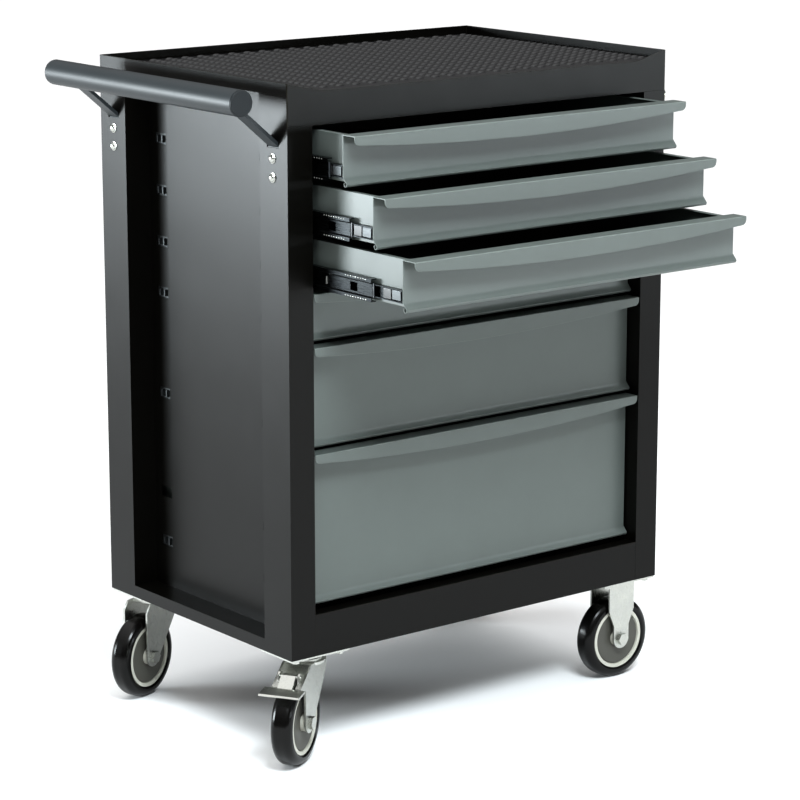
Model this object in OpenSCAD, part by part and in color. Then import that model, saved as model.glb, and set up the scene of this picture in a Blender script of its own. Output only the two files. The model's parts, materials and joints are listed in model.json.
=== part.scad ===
// Rolling tool chest: a folded sheet-steel cabinet on four casters, with six drawers on
// three-member ball slides, a push handle on the left side and a rubber mat in the top tray.
// Millimetres. +Z is up, the drawers open along -Y, and the handle is on the -X side.
// The origin is the point on the floor under the middle of the cabinet.

/* [Cabinet] */
// Width of the cabinet body
body_w = 687; // [640:1:760]
// Depth of the cabinet body
body_d = 459; // [440:1:520]
// Height of the cabinet body, without its casters
body_h = 802; // [800:1:806]
// Thickness of the sheet steel
sheet = 1.5; // [1.2:0.1:2]
// Width of each corner post, seen from the front
post_w = 41.5; // [36:0.5:46]
// Depth of each corner post, seen from the side
post_d = 64; // [56:1:70]
// Height of the rail under the drawers
rail_h = 60; // [50:1:62]
// Height of the band over the drawers, to the rim's corners
band_h = 59; // [57:1:60]
// How far the middle of the front rim is lower than its corners
rim_drop = 13; // [8:1:14]
// Length of each slanted end of the front rim
rim_slant = 58; // [40:1:80]
// Depth of the top tray, from rim to sheet
tray_depth = 16; // [15:0.5:17]
// Thickness of the rubber mat's base
mat_t = 3.5; // [2:0.5:4]
// Height of the hollow floor pan
pan_h = 18; // [14:1:24]

/* [Drawers] */
// Height of one drawer unit
unit_h = 75; // [74:0.5:75]
// Units taken by each drawer, from the top
units = [1, 1, 1, 1, 2, 3];
// How far each drawer stands open
opened = [91, 156, 219, 0, 0, 0];
// Height of the first drawer's lip over the bottom of the cabinet
lip_top = 738; // [736:1:739]
// Width of a drawer front
front_w = 600; // [560:1:602]
// How far the pull lip stands in front of the drawer face
lip_out = 25.5; // [18:0.5:30]
// Height of the pull lip at its ends
lip_end = 12.5; // [8:0.5:14]
// Height of the pull lip in the middle
lip_mid = 24; // [16:1:28]
// Thickness of the drawer sheet
tin = 1.2; // [1:0.1:1.5]
// Depth of a drawer box
box_d = 400; // [360:1:410]

/* [Handle] */
// Diameter of the handle tube
tube_d = 36; // [28:1:38]
// Distance from the cabinet's side to the middle of the tube
tube_out = 74.5; // [60:0.5:90]
// Height of the tube's middle over the bottom of the cabinet
tube_z = 782; // [770:1:790]
// Length of the tube
tube_l = 458; // [430:1:470]
// Distance of each handle arm from the middle of the cabinet
arm_y = 196; // [190:1:200]

/* [Casters] */
// Height of a caster
caster_h = 158; // [156:1:160]
// Diameter of a wheel
wheel_d = 125; // [120:1:126]
// Width of a tyre
wheel_w = 32; // [28:1:34]
// Distance from the swivel's axis to the wheel's axle
trail = 37; // [34:1:40]
// Place of the casters, from the middle to each side
caster_x = 292; // [285:1:292]
// Place of the casters, from the middle to the front and back
caster_y = 190; // [186:1:190]
// Direction in which the front left caster trails
front_swivel = 212; // [0:1:359]
// Direction in which the rear left caster trails
rear_swivel = 201; // [0:1:359]

/* [Hidden] */
$fn = 48;
hw = body_w / 2;
hd = body_d / 2;
z0 = caster_h;                 // bottom of the cabinet
panel_in = hw - post_w;        // inner face of a side panel
panel_out = panel_in + sheet;
tray_z = z0 + body_h - tray_depth - sheet;
band_z = z0 + body_h - band_h;
face_y = -hd + lip_out;        // face of a closed drawer
slide_t = 13;                  // thickness of a slide, all three members
side_x = panel_in - slide_t;   // outer face of a drawer's side
hem_rise = 19;                 // slide's middle over the drawer's hem
wheel_r = wheel_d / 2;
leg_in = wheel_w / 2 + 3;      // inner face of a fork leg
leg_t = 3;
plate_t = 3;
axle_r = 6;
hub_r = 47;
race_z = z0 - plate_t - 6;     // lower face of a swivel's fixed race
window_y = [-123, 136];        // columns of slide windows in the side panels
window_half_h = [5.5, 8];
window_rows = [0, 1, 2, 3, 5, 7, 8];
bolt_dx = 38;                  // caster bolt pattern, half spacings
bolt_dy = 30;
bolt_hole_r = 3.3;
handle_bolt_z = [673, 699];
arm_root = 719.5;              // where an arm's middle line leaves the post
arm_t = 5;
lock_y = -hd + 17.5;
lock_z = z0 + 735;
brake_pivot = [57, 133];       // along the trail and up
GRAPHITE = "#2b2c2e";
GREY = "#6d7475";
ZINC = "#b9bdb6";
BLACK = "#161616";

function unit_at(i) = i == 0 ? 0 : unit_at(i - 1) + units[i - 1];
function lip_z(i) = z0 + lip_top - unit_h * unit_at(i);
function front_h(i) = unit_h * units[i] - 5;
function slide_z(i) = lip_z(i) - front_h(i) + hem_rise;
// height of an arm's middle line
function arm_z(x) = z0 + arm_root + (x - hw) * (tube_z - arm_root) / tube_out;
function arc(cx, cy, r, a0, a1, n) =
  [for (k = [0:n]) [cx + r * cos(a0 + (a1 - a0) * k / n), cy + r * sin(a0 + (a1 - a0) * k / n)]];

module block(lo, hi) translate(lo) cube(hi - lo);
module along_x(x0, x1, y, z, r, fn = $fn)
  translate([x0, y, z]) rotate([0, 90, 0]) cylinder(r = r, h = x1 - x0, $fn = fn);
module along_y(y0, y1, x, z, r, fn = $fn)
  translate([x, y0, z]) rotate([-90, 0, 0]) cylinder(r = r, h = y1 - y0, $fn = fn);
// an outline drawn in X and Z, as thick as y1 - y0
module slab_xz(y0, y1, points)
  translate([0, y1, 0]) rotate([90, 0, 0]) linear_extrude(y1 - y0) polygon(points);
// an outline drawn in Y and Z, as long as x1 - x0
module bar_yz(x0, x1, points)
  translate([x0, 0, 0]) rotate([90, 0, 90]) linear_extrude(x1 - x0) polygon(points);
module both_sides() for (s = [0, 1]) mirror([s, 0, 0]) children();
module at_corners() for (x = [-1, 1], y = [-1, 1]) translate([x * caster_x, y * caster_y, 0]) children();
module at_bolts() for (x = [-1, 1], y = [-1, 1]) translate([x * bolt_dx, y * bolt_dy, 0]) children();

// ---- cabinet ----

// One side of the cabinet as it is folded from one sheet, outwards along +X: a recessed
// panel between two box-shaped posts.
module post(front) {
  y0 = front ? -hd : hd - post_d;
  y1 = front ? -hd + post_d : hd;
  top = tray_z;
  block([panel_in, y0, z0], [hw, y0 + sheet, top]);
  block([panel_in, y1 - sheet, z0], [hw, y1, top]);
  block([hw - sheet, y0, z0], [hw, y1, top]);
  block([panel_in, y0, z0], [hw, y1, z0 + sheet]);
}

module side() {
  difference() {
    union() {
      block([panel_in, -hd, z0], [panel_out, hd, tray_z]);
      post(true);
      post(false);
    }
    block([panel_in - 1, -hd + post_d, z0 - 1], [hw + 1, hd - post_d, z0 + pan_h]);
    block([0, -hd - 1, band_z], [hw + 1, -hd + sheet, tray_z + 1]);
    for (row = window_rows, column = [0, 1])
      block([panel_in - 1, window_y[column] - 14, slide_z(0) - unit_h * row - window_half_h[column]],
            [panel_out + 1, window_y[column] + 14, slide_z(0) - unit_h * row + window_half_h[column]]);
    at_corners() at_bolts() cylinder(r = bolt_hole_r, h = z0 + 2 * sheet);
  }
}

module left_side() color(GRAPHITE) mirror([1, 0, 0]) difference() {
  side();
  for (y = [-arm_y, arm_y]) {
    block([hw - 2 * sheet, y - 13.5, z0 + arm_root - 6], [hw + 1, y + 13.5, z0 + arm_root + 5]);
    for (z = handle_bolt_z) along_x(hw - 2 * sheet, hw + 1, y, z0 + z, 4.2);
  }
}

module right_side() color(GRAPHITE) difference() {
  side();
  along_x(hw - 2 * sheet, hw + 1, lock_y, lock_z, 9.6);
}

module top_tray() color(GRAPHITE) {
  block([-hw, -hd + sheet, tray_z], [hw, hd, tray_z + sheet]);
  both_sides() block([hw - sheet, -hd + sheet, tray_z], [hw, hd, z0 + body_h]);
  block([-hw, hd - sheet, tray_z], [hw, hd, z0 + body_h]);
}

module front_band() color(GRAPHITE) {
  top = z0 + body_h;
  slab_xz(-hd, -hd + sheet, [[-hw, band_z], [hw, band_z], [hw, top], [hw - rim_slant, top - rim_drop],
    [rim_slant - hw, top - rim_drop], [-hw, top]]);
  block([-panel_in, -hd, band_z], [panel_in, -hd + 22, band_z + sheet]);
  block([-panel_in, -hd, tray_z - sheet], [panel_in, -hd + 22, tray_z]);
}

module front_rail() color(GRAPHITE) {
  block([-panel_in, -hd, z0], [panel_in, -hd + sheet, z0 + rail_h]);
  block([-panel_in, -hd, z0 + rail_h - sheet], [panel_in, -hd + 22, z0 + rail_h]);
}

// The floor pan: a shelf with a skirt all round, and a flange on each side for the casters.
module floor_pan() color(GRAPHITE) {
  y_in = hd - sheet;
  y_out = hd - post_d;
  difference() {
    union() {
      block([-panel_in, -y_in, z0 + pan_h - sheet], [panel_in, y_in, z0 + pan_h]);
      block([-panel_in, -y_in, z0], [panel_in, -y_in + sheet, z0 + pan_h]);
      block([-panel_in, y_in - sheet, z0], [panel_in, y_in, z0 + pan_h]);
      both_sides() {
        block([panel_in - 1, -y_out, z0 + pan_h - sheet], [hw, y_out, z0 + pan_h]);
        block([hw - sheet, -y_out, z0], [hw, y_out, z0 + pan_h]);
        block([caster_x - 65, -y_out, z0], [hw, y_out, z0 + sheet]);
        block([caster_x - 65, -y_in, z0], [panel_in, y_in, z0 + sheet]);
      }
    }
    at_corners() at_bolts() cylinder(r = bolt_hole_r, h = z0 + 2 * sheet);
  }
}

module back_panel() color(GRAPHITE)
  block([-panel_in, hd - sheet, z0], [panel_in, hd, tray_z]);

module top_mat() color(BLACK)
  block([-hw + 2 * sheet, -hd + 2 * sheet, tray_z + sheet],
        [hw - 2 * sheet, hd - 2 * sheet, tray_z + sheet + mat_t]);

// ---- slides ----
// Each member's section is drawn with u outwards from the drawer's side and v up.
cabinet_member = [[slide_t, -18.2], [slide_t, 18.2], [5, 18.2], [5, 17], [slide_t - 1.2, 17],
  [slide_t - 1.2, -17], [5, -17], [5, -18.2]];
middle_member = [[2, 15.5], [10.4, 15.5], [10.4, 10.5], [8.6, 8.5], [8.6, -8.5], [10.4, -10.5],
  [10.4, -15.5], [2, -15.5], [2, -14.3], [9.2, -14.3], [9.2, -11], [7.4, -9], [7.4, 9], [9.2, 11],
  [9.2, 14.3], [2, 14.3]];
drawer_member = [[0, 8.6], [6.4, 8.6], [6.4, 7.4], [1.2, 7.4], [1.2, -7.4], [6.4, -7.4],
  [6.4, -8.6], [0, -8.6]];

module member(section, y0, y1, z)
  translate([side_x, y1, z]) rotate([90, 0, 0]) linear_extrude(y1 - y0) polygon(section);

module cabinet_rails() color(ZINC) for (i = [0:5]) difference() {
  union() {
    member(cabinet_member, face_y + 6, hd - 24, slide_z(i));
    for (y = window_y, dy = [-9, 3])
      block([panel_in - 1, y + dy, slide_z(i) - 5], [panel_out + 2.5, y + dy + 2, slide_z(i) + 5]);
  }
  for (y = [-150, 90, 170])
    along_x(panel_in - 3, panel_in + 1, y, slide_z(i), 3);
}
module left_rails() mirror([1, 0, 0]) cabinet_rails();
module right_rails() cabinet_rails();

// ---- drawers ----

module drawer_box(i) color(GREY) translate([0, -opened[i], 0]) {
  bottom = lip_z(i) - front_h(i) + 5;
  top = lip_z(i) - 2;
  front = face_y + tin;
  back = face_y + box_d;
  block([-side_x, front, bottom], [side_x, back, bottom + tin]);
  block([-side_x, back - tin, bottom], [side_x, back, top - 6]);
  both_sides() {
    block([side_x - tin, front, bottom], [side_x, back, top]);
    block([side_x - 8, front, top - tin], [side_x, back, top]);
  }
}

// The front is one pressing: a flange forwards from its top edge, the face, a flare and a
// rolled hem. The pull lip hangs from the flange, and its lower edge is an arc.
module drawer_front(i) color(GREY) translate([0, -opened[i], 0]) {
  top = lip_z(i);
  low = top - front_h(i);
  w = front_w / 2;
  hem_y = face_y - 4.2;
  hem_z = low + 3.6;
  bar_yz(-w, w, concat(
    [[-hd, top], [-hd, top - tin], [face_y, top - tin], [face_y, low + 13]],
    arc(hem_y, hem_z, 3.6, 160, 420, 12),
    arc(hem_y, hem_z, 2.5, 420, 160, 12),
    [[face_y + tin, low + 12.6], [face_y + tin, top]]));
  sag = lip_mid - lip_end;
  half = w - 9;
  arc_r = (half * half + sag * sag) / (2 * sag);
  arc_a = asin(half / arc_r);
  slab_xz(-hd, -hd + tin, concat(
    [[w, top - tin], [-w, top - tin]],
    arc(-w + 8, top - lip_end + 8, 8, 180, 265, 5),
    arc(0, top - lip_mid + arc_r, arc_r, 270 - arc_a, 270 + arc_a, 20),
    arc(w - 8, top - lip_end + 8, 8, 275, 360, 5)));
}

module drawer_slides(i) color(ZINC) translate([0, -opened[i], 0]) both_sides()
  difference() {
    member(drawer_member, face_y + 8, face_y + box_d - 10, slide_z(i));
    for (y = [face_y + 22, face_y + 200]) along_x(side_x - 1, side_x + 2, y, slide_z(i), 2.5);
  }

// The middle members follow their drawer at three quarters of its travel.
module middle_slides(i) color(ZINC) translate([0, -0.75 * opened[i], 0]) both_sides()
  difference() {
    member(middle_member, face_y + 14, face_y + 364, slide_z(i));
    block([side_x + 6, face_y + 46, slide_z(i) - 6], [side_x + 11, face_y + 62, slide_z(i) + 6]);
  }

// ---- handle ----

module handle_tube() color(GRAPHITE) difference() {
  along_y(-tube_l / 2, tube_l / 2, -hw - tube_out, z0 + tube_z, tube_d / 2);
  along_y(-tube_l / 2 - 1, tube_l / 2 + 1, -hw - tube_out, z0 + tube_z, tube_d / 2 - 2);
}

module handle_caps() color(BLACK) for (s = [0, 1]) mirror([0, s, 0]) {
  along_y(tube_l / 2, tube_l / 2 + 2.5, -hw - tube_out, z0 + tube_z, tube_d / 2 - 0.4);
  along_y(tube_l / 2 - 14, tube_l / 2, -hw - tube_out, z0 + tube_z, tube_d / 2 - 2);
}

// A flat bar bolted inside the post, which comes out through a slot and rises to the tube.
module handle_arm(y) color(GRAPHITE) mirror([1, 0, 0]) difference() {
  x = hw - sheet;
  half = arm_t / 2 / cos(atan((tube_z - arm_root) / tube_out));
  reach = hw + tube_out;
  slab_xz(y - 12.5, y + 12.5, [[x - arm_t, z0 + 656], [x, z0 + 656], [x, arm_z(x) - half],
    [reach, arm_z(reach) - half], [reach, arm_z(reach) + half], [x - arm_t, arm_z(x - arm_t) + half]]);
  along_y(y - 20, y + 20, hw + tube_out, z0 + tube_z, tube_d / 2);
  for (z = handle_bolt_z) along_x(x - arm_t - 1, x + 1, y, z0 + z, 4.2);
}
module front_arm() handle_arm(-arm_y);
module rear_arm() handle_arm(arm_y);

module handle_bolts() color(ZINC) mirror([1, 0, 0])
  for (y = [-arm_y, arm_y], z = handle_bolt_z) {
    along_x(hw, hw + 1.4, y, z0 + z, 8);
    along_x(hw + 1.4, hw + 5.4, y, z0 + z, 6.6, 6);
    along_x(hw - 16, hw + 2, y, z0 + z, 3.9);
    along_x(hw - sheet - arm_t - 6, hw - sheet - arm_t, y, z0 + z, 7, 6);
  }

// ---- lock ----

module lock_barrel() color(ZINC) difference() {
  union() {
    along_x(hw - 12, hw + 2, lock_y, lock_z, 9.5);
    along_x(hw, hw + 8, lock_y, lock_z, 11);
  }
  along_x(hw - 13, hw + 9, lock_y, lock_z, 6.5);
}

module lock_plug() color(ZINC) {
  difference() {
    along_x(hw - 15, hw + 7.5, lock_y, lock_z, 6.4);
    block([hw + 3, lock_y - 0.8, lock_z - 4], [hw + 8, lock_y + 0.8, lock_z + 4]);
  }
  block([hw - 17, lock_y - 4, lock_z - 6], [hw - 15, lock_y + 14, lock_z + 4]);
}

// The locking rod stands inside the front post and lifts as the cam turns.
module lock_rod() color(ZINC)
  block([hw - 21, lock_y + 8, z0 + 40], [hw - 18, lock_y + 20, lock_z + 14]);

// ---- casters ----

module mount_plate() difference() {
  block([-50, -38, z0 - plate_t], [50, 38, z0]);
  at_bolts() translate([0, 0, z0 - 10]) cylinder(r = bolt_hole_r, h = 20);
}

module swivel_plates() color(ZINC) for (y = [-1, 1]) translate([-caster_x, y * caster_y, 0]) {
  mount_plate();
  translate([0, 0, race_z]) cylinder(r1 = 24, r2 = 27, h = z0 - plate_t - race_z);
  translate([0, 0, race_z - 12]) cylinder(r = axle_r, h = 13);
  translate([0, 0, race_z - 15]) cylinder(r = 10, h = 5, $fn = 6);
}

module caster_bolts() color(ZINC) at_corners() at_bolts() {
  translate([0, 0, z0 - plate_t - 4]) cylinder(r = 5.6, h = 4, $fn = 6);
  translate([0, 0, z0 - plate_t - 2]) cylinder(r = bolt_hole_r - 0.3, h = 13);
  translate([0, 0, z0 + sheet]) cylinder(r = 5.2, h = 4.5, $fn = 6);
}

// A fork leg with a round end at the axle, drawn along the trail.
module leg(points, s, t0) difference() {
  union() {
    slab_xz(t0, t0 + leg_t, points);
    along_y(t0, t0 + leg_t, s, wheel_r, 15);
  }
  along_y(t0 - 1, t0 + leg_t + 1, s, wheel_r, axle_r + 0.1);
}

// The swivel fork points its wheel along +X before it is turned.
module fork(braked) {
  top = race_z - 4;
  crown_t = 4;
  shoulder = trail + 15;
  trailing_edge = braked ? [[shoulder, 114], [69, 109], [71, 121.5], [30, top]]
                         : [[shoulder, 132], [42, top]];
  for (s = [0, 1]) mirror([0, s, 0]) leg(concat(
    [[-27, top], [-27, top - 18], [trail - 14, wheel_r - 4], [shoulder, wheel_r]],
    trailing_edge), trail, leg_in);
  difference() {
    union() {
      block([-27, -leg_in - leg_t, top - crown_t], [30, leg_in + leg_t, top]);
      translate([0, 0, top - crown_t]) cylinder(r = 30, h = crown_t);
      translate([0, 0, top - 1]) cylinder(r = 25.5, h = 4.4);
    }
    translate([0, 0, top - 10]) cylinder(r = axle_r + 0.4, h = 30);
    translate([0, 0, top]) cylinder(r = 20, h = 10);
    translate([0, 0, top - 10]) cylinder(r = 13, h = 10 - crown_t);
  }
  if (braked) {
    difference() {
      slab_xz(-leg_in - leg_t, leg_in + leg_t, [[29, top], [29, top - 4], [71, 118], [71, 121.5]]);
      block([52, -13, 100], [72, 13, 140]);
    }
    for (s = [0, 1]) mirror([0, s, 0]) difference() {
      slab_xz(13.5, 16.5, [[50, 129], [64, 122], [64, 136], [58, 140], [50, 138]]);
      along_y(13, 17, brake_pivot[0], brake_pivot[1], 3.1);
    }
  }
}

module brake() {
  slab_xz(-11, 11, [[53.6, 128.7], [75, 118.5], [77, 118], [77, 122.5], [62, 137], [54.6, 138]]);
  slab_xz(-30, 30, [[76, 118], [99, 115.5], [101, 117], [99, 119], [76, 122]]);
  along_y(-18, 18, brake_pivot[0], brake_pivot[1], 3);
}

module axle() {
  along_y(-leg_in - leg_t - 8, leg_in + leg_t + 2, 0, wheel_r, axle_r);
  along_y(leg_in + leg_t, leg_in + leg_t + 6, 0, wheel_r, 9.5, 6);
  along_y(-leg_in - leg_t - 6, -leg_in - leg_t, 0, wheel_r, 9.5, 6);
}

module wheel_turned(points) translate([0, 0, wheel_r]) rotate([90, 0, 0])
  rotate_extrude($fn = 72) polygon(points);

module hub() color("#b3b3ac") wheel_turned([
  [axle_r + 0.1, -17.5], [13, -17.5], [13, -6], [40, -6], [42, -14], [hub_r, -14],
  [hub_r, 14], [42, 14], [40, 6], [13, 6], [13, 17.5], [axle_r + 0.1, 17.5]]);

module tyre() color(BLACK) wheel_turned(concat(
  [[hub_r, -wheel_w / 2 + 2], [hub_r + 3, -wheel_w / 2]],
  arc(wheel_r - 11, -wheel_w / 2 + 11, 11, 270, 360, 6),
  arc(wheel_r - 11, wheel_w / 2 - 11, 11, 0, 90, 6),
  [[hub_r + 3, wheel_w / 2], [hub_r, wheel_w / 2 - 2]]));

module swivelled(y, angle) translate([-caster_x, y, 0]) rotate([0, 0, angle]) children();
module front_left() swivelled(-caster_y, front_swivel) children();
module rear_left() swivelled(caster_y, rear_swivel) children();
module on_wheel() translate([trail, 0, 0]) children();

module fixed_bracket(y) color(ZINC) translate([caster_x, y, 0]) {
  mount_plate();
  block([-25, -leg_in - leg_t, z0 - plate_t - 3], [25, leg_in + leg_t, z0 - plate_t]);
  for (s = [0, 1]) mirror([0, s, 0])
    leg([[-25, z0 - plate_t], [-25, 108], [-15, 84], [-15, wheel_r], [15, wheel_r], [15, 84],
      [25, 108], [25, z0 - plate_t]], 0, leg_in);
}

module fixed_axles() color(ZINC) for (y = [-1, 1]) translate([caster_x, y * caster_y, 0])
  rotate([0, 0, y < 0 ? 180 : 0]) axle();

left_side();
right_side();
top_tray();
front_band();
front_rail();
floor_pan();
back_panel();
top_mat();
left_rails();
right_rails();
handle_tube();
handle_caps();
front_arm();
rear_arm();
handle_bolts();
lock_barrel();
lock_plug();
lock_rod();
for (i = [0:5]) {
  drawer_box(i);
  drawer_front(i);
  drawer_slides(i);
  middle_slides(i);
}
swivel_plates();
caster_bolts();
fixed_axles();
front_left() color(ZINC) fork(true);  // front_left_fork
front_left() on_wheel() color(ZINC) axle();  // front_left_axle
front_left() on_wheel() hub();  // front_left_hub
front_left() on_wheel() tyre();  // front_left_tyre
front_left() color(ZINC) brake();  // front_left_brake
rear_left() color(ZINC) fork(false);  // rear_left_fork
rear_left() on_wheel() color(ZINC) axle();  // rear_left_axle
rear_left() on_wheel() hub();  // rear_left_hub
rear_left() on_wheel() tyre();  // rear_left_tyre
fixed_bracket(-caster_y);  // front_right_bracket
translate([caster_x, -caster_y, 0]) hub();  // front_right_hub
translate([caster_x, -caster_y, 0]) tyre();  // front_right_tyre
fixed_bracket(caster_y);  // rear_right_bracket
translate([caster_x, caster_y, 0]) hub();  // rear_right_hub
translate([caster_x, caster_y, 0]) tyre();  // rear_right_tyre
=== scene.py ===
import json
import math

import bmesh
import bpy
from bpy.props import FloatProperty, FloatVectorProperty, IntProperty, PointerProperty
from bpy.types import Operator, Panel, PropertyGroup
from mathutils import Matrix, Vector

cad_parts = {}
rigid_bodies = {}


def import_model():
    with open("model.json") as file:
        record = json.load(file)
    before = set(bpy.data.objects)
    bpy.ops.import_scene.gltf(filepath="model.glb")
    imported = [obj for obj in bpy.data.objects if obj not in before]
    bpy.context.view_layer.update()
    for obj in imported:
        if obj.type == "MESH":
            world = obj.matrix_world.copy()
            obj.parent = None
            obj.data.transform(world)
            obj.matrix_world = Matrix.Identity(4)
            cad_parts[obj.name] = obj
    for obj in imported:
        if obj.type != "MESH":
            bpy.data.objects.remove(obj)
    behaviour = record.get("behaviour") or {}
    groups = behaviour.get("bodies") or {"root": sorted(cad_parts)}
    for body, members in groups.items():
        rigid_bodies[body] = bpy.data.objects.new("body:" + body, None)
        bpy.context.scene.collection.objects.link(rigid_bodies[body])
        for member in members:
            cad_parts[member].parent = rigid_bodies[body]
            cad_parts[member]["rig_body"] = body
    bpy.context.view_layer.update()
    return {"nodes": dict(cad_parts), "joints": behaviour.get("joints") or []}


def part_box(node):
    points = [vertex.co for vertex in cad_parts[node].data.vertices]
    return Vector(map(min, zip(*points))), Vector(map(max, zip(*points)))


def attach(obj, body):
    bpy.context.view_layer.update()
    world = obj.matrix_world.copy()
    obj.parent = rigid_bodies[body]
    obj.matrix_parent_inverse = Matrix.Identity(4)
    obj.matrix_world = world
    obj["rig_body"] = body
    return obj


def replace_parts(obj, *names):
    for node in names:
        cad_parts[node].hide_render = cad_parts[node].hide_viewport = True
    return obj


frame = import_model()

bl_info = {
    "name": "Rolling Tool Chest",
    "version": (1, 0, 0),
    "blender": (4, 5, 0),
    "location": "View3D > Sidebar > Tool Chest",
    "description": "Finishes and fine pieces of a six-drawer rolling tool chest, over its packed frame",
    "category": "Add Mesh",
}

MM = 0.001
DRAWERS = range(1, 7)
SIDES = (-1, 1)
SWIVEL_WHEELS = ("front_left", "rear_left")
FIXED_WHEELS = ("front_right", "rear_right")
BRAKED_WHEEL = "front_left"
TOUCH = 0.1 * MM  # a point this near to a plane lies on it
MOSTLY = 0.9  # least part of a direction that lies along an axis
FOLD_STEPS = 3
SHEET_EDGE = 0.35 * MM
FRONT_EDGE = 0.3 * MM
ARM_EDGE = 0.8 * MM
CAP_EDGE = 0.6 * MM
FORK_EDGE = 0.5 * MM
PEDAL_EDGE = 0.6 * MM
MAT_EDGE = 1.0 * MM
FOLD_ANGLE = 60  # least turn of a fold, in degrees
PRESSED_ANGLE = 60  # degrees; the pressed forks' soft bends stay as they are
LIGHT_COLOUR = (0.88, 0.96, 1.0)
# name, place, target, width, height in metres, power in watts, spread in degrees
LIGHTS = (
    ("left_softbox", (-2.8, 2.15, 0.8), (-0.34, -0.1, 0.95), 1.3, 0.9, 22, 60),
    ("top_softbox", (-0.9, -2.2, 3.0), (0.0, -0.2, 0.7), 1.2, 0.9, 108, 180),
    ("front_softbox", (2.8, -3.6, 0.75), (0.1, 0.0, 1.05), 2.6, 0.5, 4, 50),
)


def linear(code):
    """The linear colour of an sRGB hex code."""
    channels = [int(code[i:i + 2], 16) / 255 for i in (1, 3, 5)]
    return [c / 12.92 if c <= 0.04045 else ((c + 0.055) / 1.055) ** 2.4 for c in channels]


def colour(name, code, description):
    """A colour property whose default is an sRGB hex code."""
    return FloatVectorProperty(
        name=name, description=description, subtype="COLOR", size=3, min=0, max=1,
        default=linear(code))


def length(name, millimetres, description):
    """A length property whose default is in millimetres."""
    return FloatProperty(
        name=name, description=description, subtype="DISTANCE", unit="LENGTH", min=0,
        default=millimetres * MM, precision=4)


class ChestSizes(PropertyGroup):
    """Sizes of the pieces that are finer than the frame."""
    fold_radius: length("Fold radius", 1.2, "Outer radius of the cabinet's bent corners")
    edge_radius: length("Edge radius", 0.35, "Roundness of the cut edges under the coating")
    drawer_fold: length("Drawer fold", 1.0, "Outer radius of the folds of a drawer front")
    stud_pitch_x: length("Stud pitch, across", 27.8, "Distance between the mat's stud columns")
    stud_pitch_y: length("Stud pitch, front to back", 14.2, "Distance between the mat's stud rows")
    stud_length: length("Stud length", 16.0, "Length of one stud of the mat, across the chest")
    stud_width: length("Stud width", 9.6, "Width of one stud of the mat, front to back")
    stud_height: length("Stud height", 2.8, "Height of one stud of the mat")
    mat_border: length("Mat border", 19.0, "Smooth strip of the mat along the front")
    bumper_length: length("Slide bumper", 9.0, "Length of the bumper at the front of a middle slide")
    ball_size: length("Slide ball", 3.2, "Diameter of the balls in the slides")
    balls: IntProperty(
        name="Balls in a row", description="Visible balls in each race of a slide",
        default=9, min=1, max=30)
    cover_radius: length("Wheel cover", 40.8, "Radius of the cover disc on each side of a wheel")


class ChestColours(PropertyGroup):
    """Colours of the chest's finishes."""
    cabinet: colour("Cabinet", "#080705", "Powder coat of the cabinet")
    handle: colour("Handle", "#282c2e", "Powder coat of the push handle")
    drawer: colour("Drawers", "#5b615e", "Powder coat of the drawers")
    mat: colour("Mat", "#08080a", "Rubber of the top mat")
    tread: colour("Tread", "#0b0a09", "Cast tread of the wheels")
    wheel_rim: colour("Wheel rim", "#bdbcb1", "Moulded rim of the wheels")
    wheel_cover: colour("Wheel cover", "#4a4943", "Cover discs of the wheels")
    zinc: colour("Zinc", "#babbb8", "Zinc plating of casters, bolts and slides")
    backdrop: colour("Floor", "#fafafa", "Floor of the stage")


# ---- materials ----

def add_node(tree, kind, inputs=None, **settings):
    """Adds a node with its own settings; each input is a value or another node's output."""
    made = tree.nodes.new(kind)
    for name, value in settings.items():
        setattr(made, name, value)
    for socket, value in (inputs or {}).items():
        if isinstance(value, bpy.types.NodeSocket):
            tree.links.new(value, made.inputs[socket])
        else:
            made.inputs[socket].default_value = value
    return made


def start_material(name):
    """A new material's tree, its surface shader and its Object coordinates."""
    material = bpy.data.materials.new(name)
    material.use_nodes = True
    tree = material.node_tree
    place = add_node(tree, "ShaderNodeTexCoord").outputs["Object"]
    return material, tree, tree.nodes["Principled BSDF"], place


def rgba(values):
    return [*values, 1.0]


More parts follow.
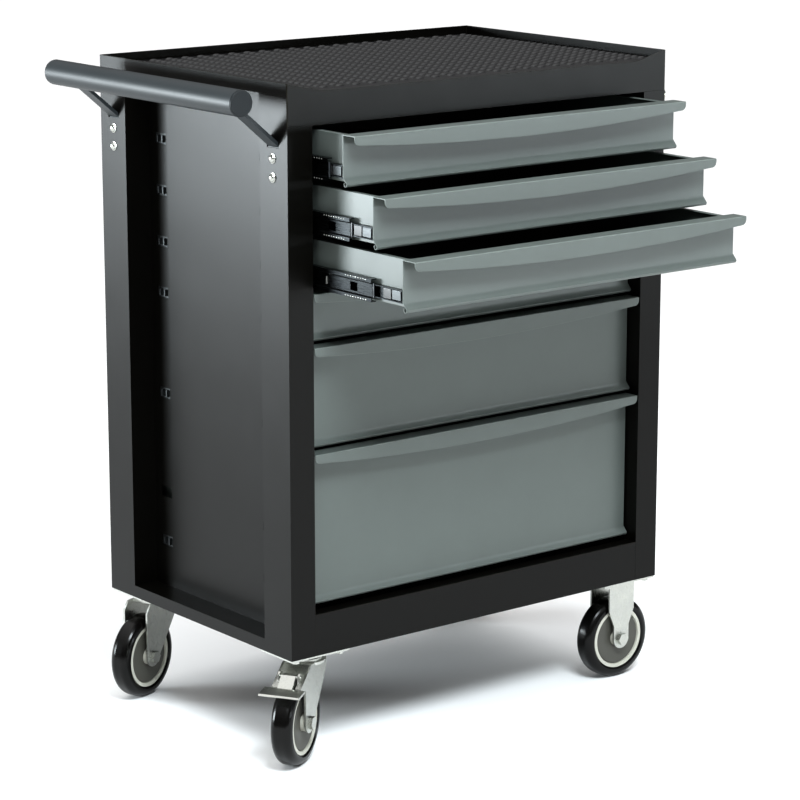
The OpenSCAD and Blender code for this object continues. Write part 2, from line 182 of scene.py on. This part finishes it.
def powder_coat(name, base, roughness, fold_wear_and_highlight, shine):
    """Polyester powder coat, baked on: satin, a fine orange peel, and lighter on folds: partly rubbed
    wear, partly a painted highlight along the fold lines.
    """
    material, tree, shader, place = start_material(name)
    # Orange peel is about 1 mm across; it is drawn 2.5 mm across so that it shows.
    peel = add_node(tree, "ShaderNodeTexNoise", {
        "Vector": place, "Scale": 1 / (2.5 * MM), "Detail": 2.0, "Roughness": 0.5})
    # The film's thickness drifts over 60 mm, which moves the gloss a little.
    drift = add_node(tree, "ShaderNodeTexNoise", {
        "Vector": place, "Scale": 1 / (60 * MM), "Detail": 3.0, "Roughness": 0.55})
    gloss = add_node(tree, "ShaderNodeMapRange", {
        "Value": drift.outputs["Fac"], "From Min": 0.0, "From Max": 1.0,
        "To Min": roughness - 0.03, "To Max": roughness + 0.03})
    # Folds are handled most, and the coat there is lighter in short runs of 14 mm: partly polished
    # wear, partly a painted highlight for the bright line along each fold.
    fold = add_node(tree, "ShaderNodeAttribute", attribute_name="fold")
    runs = add_node(tree, "ShaderNodeTexNoise", {
        "Vector": place, "Scale": 1 / (14 * MM), "Detail": 2.0})
    wear_and_highlight = add_node(tree, "ShaderNodeMath", {
        0: fold.outputs["Fac"], 1: runs.outputs["Fac"]}, operation="MULTIPLY")
    tint = add_node(tree, "ShaderNodeMix", {
        0: drift.outputs["Fac"], 6: rgba([c * 0.94 for c in base]),
        7: rgba([min(1, c * 1.06) for c in base])}, data_type="RGBA")
    skin = add_node(tree, "ShaderNodeMix", {
        0: wear_and_highlight.outputs[0], 6: tint.outputs[2],
        7: rgba([min(1, c * fold_wear_and_highlight) for c in base])}, data_type="RGBA")
    bump = add_node(tree, "ShaderNodeBump", {
        "Height": peel.outputs["Fac"], "Strength": 0.25, "Distance": 0.03 * MM})
    tree.links.new(skin.outputs[2], shader.inputs["Base Color"])
    tree.links.new(gloss.outputs["Result"], shader.inputs["Roughness"])
    tree.links.new(bump.outputs["Normal"], shader.inputs["Normal"])
    shader.inputs["Specular IOR Level"].default_value = shine
    return material


def zinc_plate(name, base, roughness, stretch):
    """Zinc plating on steel: a soft metal sheen, clouded, with drawing marks along stretch."""
    material, tree, shader, place = start_material(name)
    # Clouds left by the passivation bath, 18 mm across.
    clouds = add_node(tree, "ShaderNodeTexNoise", {
        "Vector": place, "Scale": 1 / (18 * MM), "Detail": 4.0, "Roughness": 0.6})
    # Drawing marks are 0.1 mm wide; they are drawn 0.8 mm wide, so that they show.
    along = add_node(tree, "ShaderNodeMapping", {"Vector": place, "Scale": stretch})
    marks = add_node(tree, "ShaderNodeTexNoise", {
        "Vector": along.outputs["Vector"], "Scale": 1 / (0.8 * MM), "Detail": 2.0})
    tint = add_node(tree, "ShaderNodeMix", {
        0: clouds.outputs["Fac"], 6: rgba([c * 0.86 for c in base]),
        7: rgba([min(1, base[0] * 1.1), min(1, base[1] * 1.1), min(1, base[2] * 1.04)])},
        data_type="RGBA")
    gloss = add_node(tree, "ShaderNodeMapRange", {
        "Value": marks.outputs["Fac"], "From Min": 0.3, "From Max": 0.7,
        "To Min": roughness - 0.07, "To Max": roughness + 0.09})
    bump = add_node(tree, "ShaderNodeBump", {
        "Height": marks.outputs["Fac"], "Strength": 0.2, "Distance": 0.02 * MM})
    tree.links.new(tint.outputs[2], shader.inputs["Base Color"])
    tree.links.new(gloss.outputs["Result"], shader.inputs["Roughness"])
    tree.links.new(bump.outputs["Normal"], shader.inputs["Normal"])
    shader.inputs["Metallic"].default_value = 1.0
    return material


def moulded(name, base, roughness, grain, depth, shine=0.5):
    """A moulded plastic or rubber: one colour through, a fine mould texture and uneven gloss."""
    material, tree, shader, place = start_material(name)
    texture = add_node(tree, "ShaderNodeTexNoise", {
        "Vector": place, "Scale": 1 / grain, "Detail": 3.0, "Roughness": 0.6})
    # Flow of the melt, 25 mm across, shows as a slight change of gloss and tone.
    flow = add_node(tree, "ShaderNodeTexNoise", {
        "Vector": place, "Scale": 1 / (25 * MM), "Detail": 2.0, "Distortion": 0.6})
    gloss = add_node(tree, "ShaderNodeMapRange", {
        "Value": flow.outputs["Fac"], "From Min": 0.3, "From Max": 0.7,
        "To Min": roughness - 0.05, "To Max": roughness + 0.06})
    tint = add_node(tree, "ShaderNodeMix", {
        0: flow.outputs["Fac"], 6: rgba([c * 0.9 for c in base]),
        7: rgba([min(1, c * 1.1) for c in base])}, data_type="RGBA")
    bump = add_node(tree, "ShaderNodeBump", {
        "Height": texture.outputs["Fac"], "Strength": 0.35, "Distance": depth})
    tree.links.new(tint.outputs[2], shader.inputs["Base Color"])
    tree.links.new(gloss.outputs["Result"], shader.inputs["Roughness"])
    tree.links.new(bump.outputs["Normal"], shader.inputs["Normal"])
    shader.inputs["Specular IOR Level"].default_value = shine
    return material


def make_finish(name):
    """The material of one finish, by the name of its slot."""
    shades = bpy.context.scene.chest_colours
    zinc = list(shades.zinc)
    # The number after each coat's roughness lightens its folds: partly wear, partly painted highlight.
    if name == "graphite_enamel":  # satin black, a shade warmer than neutral
        return powder_coat("satin_black_powder_coat", list(shades.cabinet), 0.34, 9.0, 0.19)
    if name == "handle_enamel":  # duller and greyer than the cabinet
        return powder_coat("satin_graphite_powder_coat", list(shades.handle), 0.46, 1.6, 0.35)
    if name == "grey_enamel":  # mid grey with a soft sheen on the lips
        return powder_coat("satin_grey_powder_coat", list(shades.drawer), 0.36, 2.0, 0.35)
    if name == "zinc_slide":  # rolled along Y; the zinc is painted dark as shade, for slides that sit in the dark of the drawer openings
        return zinc_plate("zinc_plate_darkened_as_shade", linear("#292b2d"), 0.28, (1.0, 0.03, 1.0))
    if name == "zinc_rail":  # the same plating as the slides', painted less dark as shade, for the light that reaches the rails in the side windows; a little dull
        return zinc_plate("dull_zinc_plate_darkened_as_shade", linear("#4b4d4f"), 0.42, (1.0, 0.03, 1.0))
    if name == "zinc_bolt":  # small bright points on the dark posts
        return zinc_plate("bright_zinc_plate", zinc, 0.22, (1.0, 1.0, 1.0))
    if name == "zinc_caster":  # pressed and drawn downwards
        return zinc_plate("pressed_zinc_plate", zinc, 0.3, (1.0, 1.0, 0.12))
    if name == "lock_steel":  # the brightest metal, a little warm
        return zinc_plate("nickel_plated_brass", linear("#d0cfc8"), 0.18, (0.4, 1.0, 1.0))
    if name == "wheel_hub":  # a pale ring inside the black tread
        return moulded("moulded_nylon_rim", list(shades.wheel_rim), 0.42, 1.2 * MM, 0.04 * MM)
    if name == "wheel_cover":  # dull, so the ring stands out
        return moulded("moulded_nylon_cover", list(shades.wheel_cover), 0.5, 1.2 * MM, 0.06 * MM)
    if name == "tyre":  # cast against a polished mould, so it is glossy
        return moulded(
            "cast_polyurethane_tread", list(shades.tread), 0.2, 6 * MM, 0.03 * MM, 0.25)
    if name == "mat_rubber":  # glossy enough that the studs catch the light
        return moulded("moulded_nitrile_rubber", list(shades.mat), 0.34, 1.5 * MM, 0.03 * MM, 0.5)
    if name == "black_plastic":  # dull dark grey
        return moulded("moulded_abs_cap", linear("#25282a"), 0.5, 1.2 * MM, 0.05 * MM, 0.2)
    if name == "latch_plastic":  # near black, with a soft gloss
        return moulded("black_acetal_latch", linear("#0f0f10"), 0.35, 1.2 * MM, 0.03 * MM)
    if name == "bumper_plastic":  # dark grey and glossy, to stand out in the slide's mouth
        return moulded("grey_acetal_bumper", linear("#34373a"), 0.25, 1.2 * MM, 0.03 * MM)
    raise RuntimeError(f"no finish is written for {name}")


def finish(name):
    """The finish's material, made once."""
    key = "finish_" + name
    known = bpy.context.scene.get(key)
    if known is None:
        known = make_finish(name).name
        bpy.context.scene[key] = known
    return bpy.data.materials[known]


# ---- mesh tools ----

def all_of(bm):
    return list(bm.verts) + list(bm.edges) + list(bm.faces)


def bevel_edges(bm, edges, width, segments):
    """Rounds edges, and marks the new faces as folds."""
    fold = bm.faces.layers.float.get("fold") or bm.faces.layers.float.new("fold")
    made = bmesh.ops.bevel(
        bm, geom=edges, offset=width, offset_type="OFFSET", affect="EDGES", segments=segments,
        profile=0.5, material=-1, clamp_overlap=True, loop_slide=True)
    for face in made["faces"]:
        face[fold] = 1.0
    return made["faces"]


def add_piece(name, bm, body, material, smooth_angle=35):
    """Makes the finished object of a mesh, at the origin, and lets it ride on its body."""
    mesh = bpy.data.meshes.new(name)
    for face in bm.faces:
        face.smooth = True
    bm.to_mesh(mesh)
    bm.free()
    mesh.set_sharp_from_angle(angle=math.radians(smooth_angle))
    mesh.materials.append(material)
    piece = bpy.data.objects.new(name, mesh)
    bpy.context.scene.collection.objects.link(piece)
    flatten = piece.modifiers.new("flat_faces", "WEIGHTED_NORMAL")
    flatten.keep_sharp = True
    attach(piece, body)
    return piece


def merged_copy(node):
    """A node's mesh with its loose triangles merged into flat faces."""
    bm = bmesh.new()
    bm.from_mesh(frame["nodes"][node].data)
    bmesh.ops.remove_doubles(bm, verts=bm.verts, dist=0.002 * MM)
    bmesh.ops.dissolve_limit(
        bm, angle_limit=math.radians(0.8), use_dissolve_boundaries=False, verts=bm.verts,
        edges=bm.edges, delimit=set())
    return bm


def corner_edges(bm, least_angle, chosen=None):
    """Edges that turn by more than least_angle, and whose middle and direction are chosen."""
    found = []
    for edge in bm.edges:
        if len(edge.link_faces) != 2 or edge.calc_face_angle(0) < math.radians(least_angle):
            continue
        a, b = (v.co for v in edge.verts)
        if chosen is None or chosen((a + b) / 2, (b - a).normalized()):
            found.append(edge)
    return found


def body_of_node(node):
    return frame["nodes"][node]["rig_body"]


def softened(node, slot, folds, edge, edge_angle=50):
    """A node again, with round folds and fine edges, which stands for the node."""
    bm = merged_copy(node)
    for width, segments, chosen in folds:
        bevel_edges(bm, corner_edges(bm, FOLD_ANGLE, chosen), width, segments)
    if edge:
        bevel_edges(bm, corner_edges(bm, edge_angle), edge, 1)
    piece = add_piece(node + "_soft", bm, body_of_node(node), finish(slot))
    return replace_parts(piece, node)


def turned(bm, profile, steps):
    """Spins a profile of (radius, along) pairs about +Y, all the way round."""
    verts = [bm.verts.new((radius, along, 0)) for radius, along in profile]
    edges = [bm.edges.new(pair) for pair in zip(verts, verts[1:])]
    bmesh.ops.spin(
        bm, geom=verts + edges, cent=(0, 0, 0), axis=(0, 1, 0), dvec=(0, 0, 0),
        angle=2 * math.pi, steps=steps, use_merge=True, use_duplicate=False)
    bmesh.ops.remove_doubles(bm, verts=bm.verts, dist=0.005 * MM)
    bmesh.ops.recalc_face_normals(bm, faces=bm.faces)


def box_between(bm, lo, hi):
    """A box from one corner to the other; returns its vertices."""
    lo, hi = Vector(lo), Vector(hi)
    place = Matrix.Translation((lo + hi) / 2) @ Matrix.Diagonal([*(hi - lo), 1])
    return bmesh.ops.create_cube(bm, size=1, matrix=place)["verts"]


def stamp(bm, pattern, places):
    """Adds a copy of the small mesh pattern at each place, and empties the pattern."""
    small = bpy.data.meshes.new("stamp")
    pattern.to_mesh(small)
    pattern.free()
    for place in places:
        small.transform(place)
        bm.from_mesh(small)
        small.transform(place.inverted())
    bpy.data.meshes.remove(small)


def joint_of(name):
    return next(j for j in frame["joints"] if j["name"] == name)


# ---- the pieces ----

class CHEST_OT_cabinet(Operator):
    """Folded shells of the cabinet, with round corners and fine edges"""
    bl_idname = "chest.cabinet"
    bl_label = "Cabinet"
    bl_options = {"REGISTER", "UNDO"}

    def execute(self, context):
        sizes = context.scene.chest_sizes
        lo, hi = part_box("left_side")
        half_width = abs(lo.x)

        def on_side(middle, along):
            return abs(abs(middle.x) - half_width) < TOUCH and abs(along.z) > MOSTLY

        def on_corner(middle, along):
            return on_side(middle, along) and (
                abs(middle.y - lo.y) < TOUCH or abs(middle.y - hi.y) < TOUCH)

        for node in ("left_side", "right_side"):  # finer edges, so the windows stay crisp
            softened(node, "graphite_enamel", [(sizes.fold_radius, FOLD_STEPS, on_side)],
                     sizes.edge_radius * 0.6)
        softened("front_band", "graphite_enamel", [(sizes.fold_radius, FOLD_STEPS, on_corner)],
                 sizes.edge_radius)
        for node in ("top_tray", "front_rail", "floor_pan", "back_panel"):
            softened(node, "graphite_enamel", [], sizes.edge_radius)
        return {"FINISHED"}


class CHEST_OT_mat(Operator):
    """Rows of oval studs on the rubber mat in the top tray"""
    bl_idname = "chest.mat"
    bl_label = "Top mat"
    bl_options = {"REGISTER", "UNDO"}

    def execute(self, context):
        sizes = context.scene.chest_sizes
        lo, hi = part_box("top_mat")
        softened("top_mat", "mat_rubber", [], MAT_EDGE)
        bm = bmesh.new()
        reach = Vector((sizes.stud_length / 2, sizes.stud_width / 2, sizes.stud_height))
        columns = int((hi.x - lo.x - 2 * reach.x) / sizes.stud_pitch_x) + 1
        rows = int((hi.y - lo.y - sizes.mat_border - 2 * reach.y) / sizes.stud_pitch_y) + 1
        start_x = (lo.x + hi.x) / 2 - (columns - 1) / 2 * sizes.stud_pitch_x
        start_y = lo.y + sizes.mat_border + reach.y
        sunk = 0.3 * MM
        stamp(bm, self.stud(reach), [
            Matrix.Translation((start_x + column * sizes.stud_pitch_x,
                                start_y + row * sizes.stud_pitch_y, hi.z - sunk))
            for column in range(columns) for row in range(rows)])
        add_piece("mat_studs", bm, "root", finish("mat_rubber"),
                  smooth_angle=60)
        return {"FINISHED"}

    def stud(self, reach):
        """An oval stud: a disc that is drawn up in three steps to a crowned top."""
        bm = bmesh.new()
        bmesh.ops.create_circle(
            bm, cap_ends=True, cap_tris=False, segments=12, radius=1,
            matrix=Matrix.Diagonal([reach.x, reach.y, 1, 1]))
        face = bm.faces[:][0]
        for shrink, rise in ((0.8, 0.62), (0.62, 0.30), (0.45, 0.08)):
            face = bmesh.ops.extrude_discrete_faces(bm, faces=[face])["faces"][0]
            bmesh.ops.scale(bm, vec=(shrink, shrink, 1), verts=face.verts)
            bmesh.ops.translate(bm, vec=(0, 0, rise * reach.z), verts=face.verts)
        return bm


class CHEST_OT_drawers(Operator):
    """Pressed drawer fronts with round folds, and their boxes"""
    bl_idname = "chest.drawers"
    bl_label = "Drawers"
    bl_options = {"REGISTER", "UNDO"}

    def execute(self, context):
        sizes = context.scene.chest_sizes
        for number in DRAWERS:
            node = f"drawer_{number}_front"
            lo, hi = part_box(node)

            def top_fold(middle, along):
                return (abs(along.x) > MOSTLY and abs(middle.z - hi.z) < TOUCH
                        and abs(middle.y - lo.y) < TOUCH)

            softened(node, "grey_enamel", [(sizes.drawer_fold, FOLD_STEPS, top_fold)], FRONT_EDGE)
            softened(f"drawer_{number}_box", "grey_enamel", [], SHEET_EDGE)
        return {"FINISHED"}


class CHEST_OT_slides(Operator):
    """Bumpers, latches, balls and stop tabs of the drawer slides"""
    bl_idname = "chest.slides"
    bl_label = "Slide details"
    bl_options = {"REGISTER", "UNDO"}

    def execute(self, context):
        sizes = context.scene.chest_sizes
        for number in DRAWERS:
            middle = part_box(f"drawer_{number}_middle_slides")
            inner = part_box(f"drawer_{number}_slides")
            self.add_bumpers(number, middle, sizes)
            self.add_tabs(number, middle)
            self.add_balls(number, middle, sizes)
            self.add_latches(number, inner)
        return {"FINISHED"}

    def add_bumpers(self, number, box, sizes):
        """A rounded bumper in the mouth of each middle slide."""
        lo, hi = box
        centre_z = (lo.z + hi.z) / 2
        bm = bmesh.new()
        outer = hi.x - 2.4 * MM
        thick, overhang, half = 1.9 * MM, 2.5 * MM, 10.2 * MM
        verts = box_between(
            bm, (outer - thick, lo.y - overhang, centre_z - half),
            (outer, lo.y + sizes.bumper_length, centre_z + half))
        bevel_edges(bm, list({e for v in verts for e in v.link_edges}), 0.6 * MM, 2)
        bmesh.ops.mirror(bm, geom=all_of(bm), axis="X", merge_dist=-1)
        bmesh.ops.recalc_face_normals(bm, faces=bm.faces)
        add_piece(f"slide_bumpers_{number}", bm, f"middle_{number}",
                  finish("bumper_plastic"))

    def add_tabs(self, number, box):
        """The stop tab that is pressed out of each middle member's web."""
        lo, hi = box
        centre_z = (lo.z + hi.z) / 2
        bm = bmesh.new()
        root, tip, half = 2.0 * MM, 0.2 * MM, 5.5 * MM
        start, end = 98 * MM, 101 * MM
        verts = box_between(
            bm, (hi.x - root, lo.y + start, centre_z - half),
            (hi.x - tip, lo.y + end, centre_z + half))
        bevel_edges(bm, list({e for v in verts for e in v.link_edges}), 0.4 * MM, 1)
        bmesh.ops.mirror(bm, geom=all_of(bm), axis="X", merge_dist=-1)
        bmesh.ops.recalc_face_normals(bm, faces=bm.faces)
        add_piece(f"slide_tabs_{number}", bm, f"middle_{number}",
                  finish("zinc_caster"))

    def add_balls(self, number, box, sizes):
        """The balls that show in the upper and lower race, near the front."""
        lo, hi = box
        radius = sizes.ball_size / 2
        bm = bmesh.new()
        first, pitch, race = 12 * MM, 5.5 * MM, 1.9 * MM
        pattern = bmesh.new()
        bmesh.ops.create_uvsphere(pattern, u_segments=8, v_segments=6, radius=radius)
        stamp(bm, pattern, [
            Matrix.Translation((side * (hi.x + 0.6 * MM - radius),
                                lo.y + first + ball * pitch, z))
            for side in SIDES for z in (lo.z + race, hi.z - race)
            for ball in range(sizes.balls)])
        add_piece(f"slide_balls_{number}", bm, f"middle_{number}",
                  finish("zinc_caster"), smooth_angle=80)

    def add_latches(self, number, box):
        """The plastic latch and the zinc catch on each drawer member, behind the front."""
        lo, hi = box
        centre_z = (lo.z + hi.z) / 2
        side = hi.x - 6.4 * MM  # the drawer's side, under the member's web
        stand_off = 1.3
        parts = (("slide_latches", 24, 41, 4.6, 7.0, "latch_plastic", "black_plastic"),
                 ("slide_catches", 5, 24, 3.4, 6.6, "zinc_rail", "zinc_slide"))
        for name, start, end, stand, half, look, slot in parts:
            bm = bmesh.new()
            verts = box_between(
                bm, (side + stand_off * MM, lo.y + start * MM, centre_z - half * MM),
                (side + (stand_off + stand) * MM, lo.y + end * MM, centre_z + half * MM))
            bevel_edges(bm, list({e for v in verts for e in v.link_edges}), 0.7 * MM, 2)
            bmesh.ops.mirror(bm, geom=all_of(bm), axis="X", merge_dist=-1)
            bmesh.ops.recalc_face_normals(bm, faces=bm.faces)
            add_piece(f"{name}_{number}", bm, f"drawer_{number}", finish(look))


class CHEST_OT_handle(Operator):
    """Handle arms and end caps with fine edges"""
    bl_idname = "chest.handle"
    bl_label = "Push handle"
    bl_options = {"REGISTER", "UNDO"}

    def execute(self, context):
        for node in ("front_arm", "rear_arm"):
            softened(node, "handle_enamel", [], ARM_EDGE, edge_angle=35)
        softened("handle_caps", "black_plastic", [], CAP_EDGE)
        self.add_bolts()
        return {"FINISHED"}

    def add_bolts(self):
        """Domed bolts on washers, which hold the arms inside the posts."""
        lo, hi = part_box("handle_bolts")
        washer = 8 * MM
        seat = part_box("left_side")[0].x
        pattern = bmesh.new()
        turned(pattern, [
            (0, 16 * MM), (3.9 * MM, 16 * MM), (3.9 * MM, 0), (6.9 * MM, 0),
            (6.9 * MM, -1.1 * MM), (5.6 * MM, -1.4 * MM), (5.3 * MM, -2.6 * MM),
            (4.3 * MM, -4.0 * MM), (2.6 * MM, -4.8 * MM), (0, -5.1 * MM)], 20)
        turn = Matrix.Rotation(-math.pi / 2, 4, "Z")
        bm = bmesh.new()
        stamp(bm, pattern, [
            Matrix.Translation((seat, y, z)) @ turn
            for y in (lo.y + washer, hi.y - washer) for z in (lo.z + washer, hi.z - washer)])
        add_piece("domed_bolts", bm, "root", finish("zinc_bolt"),
                  smooth_angle=40)
        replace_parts(bpy.data.objects["domed_bolts"], "handle_bolts")


class CHEST_OT_casters(Operator):
    """Pressed forks and brackets with fine edges, and the wheels' cover discs"""
    bl_idname = "chest.casters"
    bl_label = "Casters"
    bl_options = {"REGISTER", "UNDO"}

    def execute(self, context):
        sizes = context.scene.chest_sizes
        for wheel in SWIVEL_WHEELS:
            softened(wheel + "_fork", "zinc_caster", [], FORK_EDGE, edge_angle=PRESSED_ANGLE)
        for wheel in FIXED_WHEELS:
            softened(wheel + "_bracket", "zinc_caster", [], FORK_EDGE, edge_angle=PRESSED_ANGLE)
        softened(BRAKED_WHEEL + "_brake", "zinc_caster", [], PEDAL_EDGE,
                 edge_angle=PRESSED_ANGLE)
        for wheel in SWIVEL_WHEELS + FIXED_WHEELS:
            self.add_covers(wheel, sizes)
        return {"FINISHED"}

    def add_covers(self, wheel, sizes):
        """A dished disc on each side of the wheel, from the bore to the rim."""
        joint = joint_of(wheel + "_wheel_turn")
        lo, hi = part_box(wheel + "_hub")
        centre = (lo + hi) / 2
        heading = Vector(joint["axis"])
        heading.z = 0
        turn = Vector((0, 1, 0)).rotation_difference(heading.normalized()).to_matrix().to_4x4()
        bm = bmesh.new()
        rim, bore, seat = sizes.cover_radius, 13.2 * MM, 9.0 * MM
        for side in SIDES:
            disc = bmesh.new()
            turned(disc, [
                (bore, side * seat), (bore, side * 11.6 * MM),
                (14.4 * MM, side * 12.4 * MM), (rim - 7 * MM, side * 13.0 * MM),
                (rim - 1.2 * MM, side * 12.6 * MM), (rim, side * 11.4 * MM),
                (rim, side * seat), (bore, side * seat)], 64)
            stamp(bm, disc, [Matrix.Identity(4)])
        bmesh.ops.transform(bm, matrix=Matrix.Translation(centre) @ turn, verts=bm.verts)
        add_piece(wheel + "_covers", bm, wheel + "_wheel",
                  finish("wheel_cover"), smooth_angle=40)


class CHEST_OT_finishes(Operator):
    """Puts the finishes on the frame's own parts"""
    bl_idname = "chest.finishes"
    bl_label = "Frame finishes"
    bl_options = {"REGISTER", "UNDO"}

    def execute(self, context):
        for name, node in frame["nodes"].items():
            for place in node.material_slots:
                slot = place.material.name.split(".")[0]
                place.material = finish("zinc_rail" if name.endswith("_rails") else slot)
        return {"FINISHED"}


class CHEST_OT_stage(Operator):
    """Pale floor, soft studio lights and the camera"""
    bl_idname = "chest.stage"
    bl_label = "Stage"
    bl_options = {"REGISTER", "UNDO"}

    def execute(self, context):
        context.scene.view_settings.view_transform = "Standard"
        context.scene.view_settings.look = "Medium High Contrast"
        self.add_floor()
        self.add_world()
        for light in LIGHTS:
            self.add_light(*light)
        self.add_camera()
        return {"FINISHED"}

    def add_floor(self):
        bm = bmesh.new()
        bmesh.ops.create_grid(bm, x_segments=8, y_segments=8, size=40)
        mesh = bpy.data.meshes.new("floor")
        bm.to_mesh(mesh)
        bm.free()
        material, tree, shader, place = start_material("matt_paper_floor")
        fibres = add_node(tree, "ShaderNodeTexNoise", {
            "Vector": place, "Scale": 1 / (4 * MM), "Detail": 3.0})
        bump = add_node(tree, "ShaderNodeBump", {
            "Height": fibres.outputs["Fac"], "Strength": 0.1, "Distance": 0.05 * MM})
        shader.inputs["Base Color"].default_value = rgba(bpy.context.scene.chest_colours.backdrop)
        shader.inputs["Roughness"].default_value = 0.9
        shader.inputs["Specular IOR Level"].default_value = 0.1
        tree.links.new(bump.outputs["Normal"], shader.inputs["Normal"])
        mesh.materials.append(material)
        floor = bpy.data.objects.new("floor", mesh)
        bpy.context.scene.collection.objects.link(floor)

    def add_world(self):
        world = bpy.data.worlds.new("studio")
        world.use_nodes = True
        tree = world.node_tree
        # The ceiling is a wide white screen, and the walls fall off towards the floor.
        way = add_node(tree, "ShaderNodeTexCoord").outputs["Generated"]
        height = add_node(tree, "ShaderNodeSeparateXYZ", {"Vector": way}).outputs["Z"]
        rise = add_node(
            tree, "ShaderNodeMath", {0: height, 1: 2.5}, operation="POWER", use_clamp=True)
        strength = add_node(tree, "ShaderNodeMapRange", {
            "Value": rise.outputs[0], "From Min": 0.0, "From Max": 1.0,
            "To Min": 0.08, "To Max": 1.95})
        background = tree.nodes["Background"]
        background.inputs["Color"].default_value = (1, 1, 1, 1)
        tree.links.new(strength.outputs["Result"], background.inputs["Strength"])
        bpy.context.scene.world = world

    def add_light(self, name, place, target, width, height, power, spread):
        data = bpy.data.lights.new(name, "AREA")
        data.shape = "RECTANGLE"
        data.size, data.size_y = width, height
        data.energy = power
        data.spread = math.radians(spread)
        data.color = LIGHT_COLOUR
        light = bpy.data.objects.new(name, data)
        light.location = place
        light.rotation_mode = "QUATERNION"
        light.rotation_quaternion = (Vector(target) - Vector(place)).to_track_quat("-Z", "Y")
        light.visible_camera = False
        bpy.context.scene.collection.objects.link(light)

    def add_camera(self):
        azimuth, elevation = math.radians(-38.233), math.radians(12.982)
        target, distance, side_step = Vector((0, 0, 0.4402)), 4.3494, 0.0222
        back = Vector((math.sin(azimuth) * math.cos(elevation),
                       -math.cos(azimuth) * math.cos(elevation), math.sin(elevation)))
        right = Vector((math.cos(azimuth), math.sin(azimuth), 0))
        data = bpy.data.cameras.new("camera")
        data.sensor_width = 36
        data.lens = 130.85
        data.clip_end = 200
        camera = bpy.data.objects.new("camera", data)
        camera.location = target + back * distance + right * side_step
        camera.rotation_mode = "QUATERNION"
        camera.rotation_quaternion = (-back).to_track_quat("-Z", "Y")
        bpy.context.scene.collection.objects.link(camera)
        bpy.context.scene.camera = camera


STEPS = (
    CHEST_OT_finishes, CHEST_OT_cabinet, CHEST_OT_mat, CHEST_OT_drawers, CHEST_OT_slides,
    CHEST_OT_handle, CHEST_OT_casters, CHEST_OT_stage)


class CHEST_PT_panel(Panel):
    """Sizes, colours and steps of the tool chest"""
    bl_label = "Tool Chest"
    bl_idname = "CHEST_PT_panel"
    bl_space_type = "VIEW_3D"
    bl_region_type = "UI"
    bl_category = "Tool Chest"

    def draw(self, context):
        for group in (context.scene.chest_sizes, context.scene.chest_colours):
            box = self.layout.box()
            for name in group.__annotations__:
                box.prop(group, name)
        for step in STEPS:
            self.layout.operator(step.bl_idname)


CLASSES = (ChestSizes, ChestColours, *STEPS, CHEST_PT_panel)


def register():
    for one in CLASSES:
        bpy.utils.register_class(one)
    bpy.types.Scene.chest_sizes = PointerProperty(type=ChestSizes)
    bpy.types.Scene.chest_colours = PointerProperty(type=ChestColours)


def unregister():
    del bpy.types.Scene.chest_colours
    del bpy.types.Scene.chest_sizes
    for one in reversed(CLASSES):
        bpy.utils.unregister_class(one)


def main():
    register()
    for step in STEPS:
        name = step.bl_idname.split(".")[1]
        getattr(bpy.ops.chest, name)()


if __name__ == "__main__":
    main()
